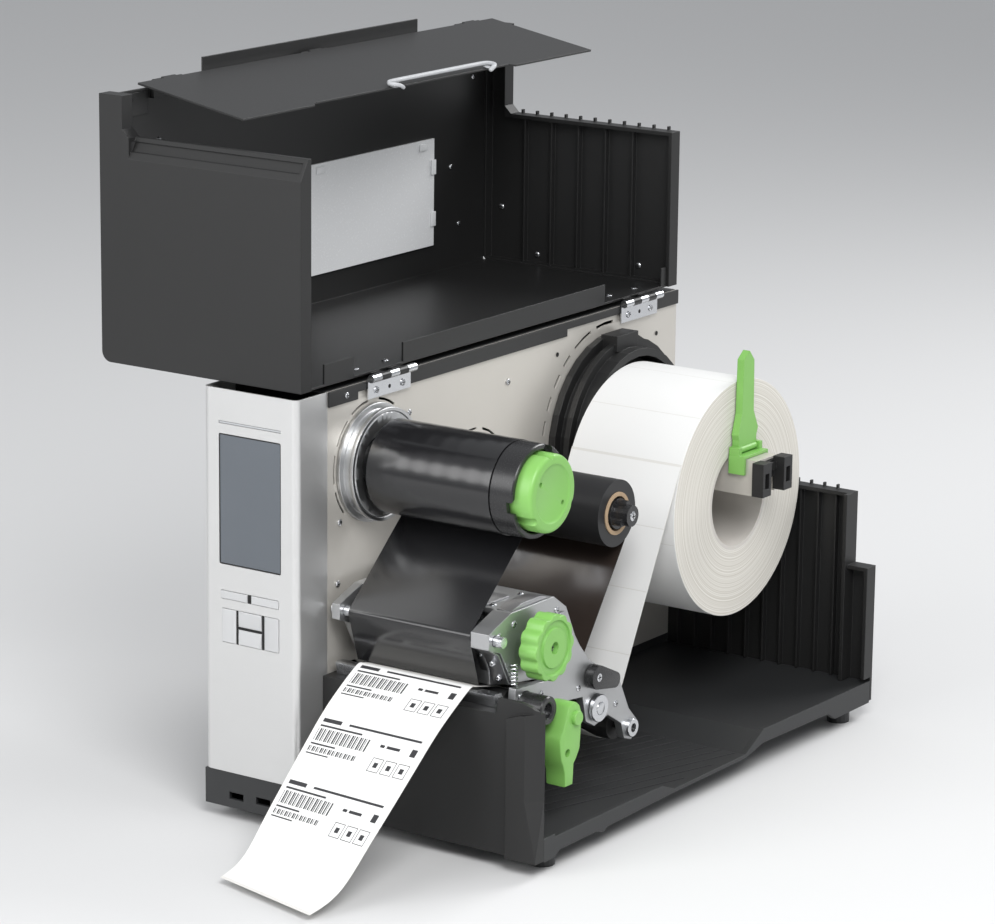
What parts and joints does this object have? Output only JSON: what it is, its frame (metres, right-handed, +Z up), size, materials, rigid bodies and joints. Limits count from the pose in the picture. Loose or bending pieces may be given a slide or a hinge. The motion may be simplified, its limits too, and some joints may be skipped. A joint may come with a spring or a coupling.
{
  "type": "thermal label printer",
  "caption": "Desktop thermal transfer label printer with its cover folded open over the control side, showing ribbon spools, print head, label roll and a printed strip.",
  "frame": {"origin": "centre of the whole printer's footprint with the cover open and the label strip out, at the level its feet stand on", "axes": "+Z up, -Y towards the user who reads the screen, +X towards the open media side"},
  "size_m": [0.3714, 0.638, 0.535],
  "materials": {
    "dark_moulding": "fine textured moulding",
    "black_sheet": "fine powder coat",
    "satin_wall": "satin silver-beige",
    "brushed_front": "brushed across",
    "screen_glass": "slate grey screen",
    "clear_plastic": "translucent light grey",
    "silver_key": "silver satin",
    "circuit_board": "solder mask",
    "cast_metal": "die cast",
    "polished_steel": "polished",
    "rubber": "ground matt",
    "ribbon_film": "thin coated film",
    "green_plastic": "satin moulding",
    "label_paper": "coated paper",
    "grey_plastic": "satin moulding"
  },
  "bodies": {
    "chassis": {"base_tray": "dark_moulding", "cabinet_shell": "black_sheet", "centre_wall": "satin_wall", "wall_trim": "black_sheet", "front_panel": "brushed_front", "display_module": "screen_glass", "indicator_strip": "clear_plastic", "main_board": "circuit_board", "power_supply": "cast_metal", "power_inlet": "dark_moulding", "feed_motor": "cast_metal", "timing_belt": "rubber", "rewind_flange": "polished_steel", "supply_flange": "polished_steel", "media_back_disc": "dark_moulding", "holder_arm": "satin_wall", "holder_arm_end": "dark_moulding", "side_plate": "cast_metal", "platen_bush": "dark_moulding", "media_guide_shaft": "polished_steel", "head_pivot_shaft": "dark_moulding", "ribbon_rest_bar": "polished_steel", "label_web": "label_paper", "ribbon_rear_web": "ribbon_film", "lower_front_cover": "dark_moulding", "tear_bar": "polished_steel", "rear_wall": "dark_moulding", "hinge_leaf_front": "polished_steel", "hinge_leaf_rear": "polished_steel"},
    "cover": {"cover_sheet": "black_sheet", "cover_front": "dark_moulding", "cover_rear": "dark_moulding", "cover_window": "clear_plastic"},
    "flap": {"flap_sheet": "black_sheet", "flap_handle": "grey_plastic"},
    "rewind": {"rewind_spindle": "dark_moulding", "rewind_ribbon_roll": "ribbon_film", "rewind_cap": "green_plastic"},
    "supply": {"supply_spindle": "dark_moulding", "supply_ribbon_roll": "ribbon_film"},
    "media": {"media_roll": "label_paper"},
    "platen": {"platen_shaft": "polished_steel", "platen_rubber": "rubber"},
    "motor_shaft": {"motor_pulley": "polished_steel"},
    "tension": {"tension_roller": "dark_moulding"},
    "guard_slide": {"guard_slider": "green_plastic"},
    "guard": {"guard_lever": "green_plastic"},
    "head": {"head_frame": "cast_metal", "print_head": "cast_metal", "ribbon_front_bar": "polished_steel", "ribbon_front_web": "ribbon_film"},
    "knob": {"pressure_knob": "green_plastic"},
    "lever": {"release_lever": "green_plastic"},
    "menu_key_left_body": {"menu_key_left": "silver_key"},
    "menu_key_right_body": {"menu_key_right": "silver_key"},
    "cancel_key_body": {"cancel_key": "silver_key"},
    "enter_key_body": {"enter_key": "silver_key"},
    "up_key_body": {"up_key": "silver_key"},
    "down_key_body": {"down_key": "silver_key"}
  },
  "joints": [
    {"name": "cover_hinge", "type": "hinge", "parent": "chassis", "child": "cover", "pos_m": [0.00205, 0.06701, 0.3245], "axis": [0, -1, 0], "range_deg": [-180, 0]},
    {"name": "flap_hinge", "type": "hinge", "parent": "cover", "child": "flap", "pos_m": [-0.18055, 0.06701, 0.524], "axis": [0, -1, 0], "range_deg": [0, 100]},
    {"name": "head_lift", "type": "hinge", "parent": "chassis", "child": "head", "pos_m": [0.07175, -0.03099, 0.1115], "axis": [-1, 0, 0], "range_deg": [0, 8], "deforming": ["ribbon_front_web"]},
    {"name": "release_lever_turn", "type": "hinge", "parent": "chassis", "child": "lever", "pos_m": [0.16475, -0.09099, 0.1], "axis": [1, 0, 0], "range_deg": [0, 75]},
    {"name": "pressure_knob_turn", "type": "hinge", "parent": "head", "child": "knob", "pos_m": [0.15475, -0.10199, 0.152], "axis": [1, 0, 0], "continuous": true},
    {"name": "rewind_spin", "type": "hinge", "parent": "chassis", "child": "rewind", "pos_m": [0.06175, -0.09349, 0.261], "axis": [1, 0, 0], "continuous": true},
    {"name": "supply_spin", "type": "hinge", "parent": "chassis", "child": "supply", "pos_m": [0.06175, 0.03551, 0.2155], "axis": [1, 0, 0], "continuous": true},
    {"name": "media_spin", "type": "hinge", "parent": "chassis", "child": "media", "pos_m": [0.07175, 0.20851, 0.1922], "axis": [1, 0, 0], "continuous": true},
    {"name": "platen_spin", "type": "hinge", "parent": "chassis", "child": "platen", "pos_m": [0.06175, -0.11599, 0.11], "axis": [1, 0, 0], "continuous": true},
    {"name": "motor_spin", "type": "hinge", "parent": "chassis", "child": "motor_shaft", "pos_m": [-0.01825, -0.03299, 0.138], "axis": [1, 0, 0], "continuous": true},
    {"name": "tension_roller_spin", "type": "hinge", "parent": "chassis", "child": "tension", "pos_m": [0.06175, 0.02301, 0.059], "axis": [1, 0, 0], "continuous": true},
    {"name": "guard_slide", "type": "slide", "parent": "chassis", "child": "guard_slide", "axis": [1, 0, 0], "range_m": [0, 0.009]},
    {"name": "guard_flip", "type": "hinge", "parent": "guard_slide", "child": "guard", "pos_m": [0.12945, 0.20851, 0.23243], "axis": [0, 1, 0], "range_deg": [0, 90]},
    {"name": "menu_key_left_press", "type": "slide", "parent": "chassis", "child": "menu_key_left_body", "axis": [0, 1, 0], "range_m": [0, 0.0008], "stiffness_N_per_m": 900, "springref_m": -0.0006},
    {"name": "menu_key_right_press", "type": "slide", "parent": "chassis", "child": "menu_key_right_body", "axis": [0, 1, 0], "range_m": [0, 0.0008], "stiffness_N_per_m": 900, "springref_m": -0.0006},
    {"name": "cancel_key_press", "type": "slide", "parent": "chassis", "child": "cancel_key_body", "axis": [0, 1, 0], "range_m": [0, 0.0008], "stiffness_N_per_m": 900, "springref_m": -0.0006},
    {"name": "enter_key_press", "type": "slide", "parent": "chassis", "child": "enter_key_body", "axis": [0, 1, 0], "range_m": [0, 0.0008], "stiffness_N_per_m": 900, "springref_m": -0.0006},
    {"name": "up_key_press", "type": "slide", "parent": "chassis", "child": "up_key_body", "axis": [0, 1, 0], "range_m": [0, 0.0008], "stiffness_N_per_m": 900, "springref_m": -0.0006},
    {"name": "down_key_press", "type": "slide", "parent": "chassis", "child": "down_key_body", "axis": [0, 1, 0], "range_m": [0, 0.0008], "stiffness_N_per_m": 900, "springref_m": -0.0006}
  ],
  "couplings": [
    {"joint": "flap_hinge", "follows": "cover_hinge", "ratio": -0.55556},
    {"joint": "release_lever_turn", "follows": "head_lift", "ratio": 9.375},
    {"joint": "motor_spin", "follows": "platen_spin", "ratio": 2}
  ]
}
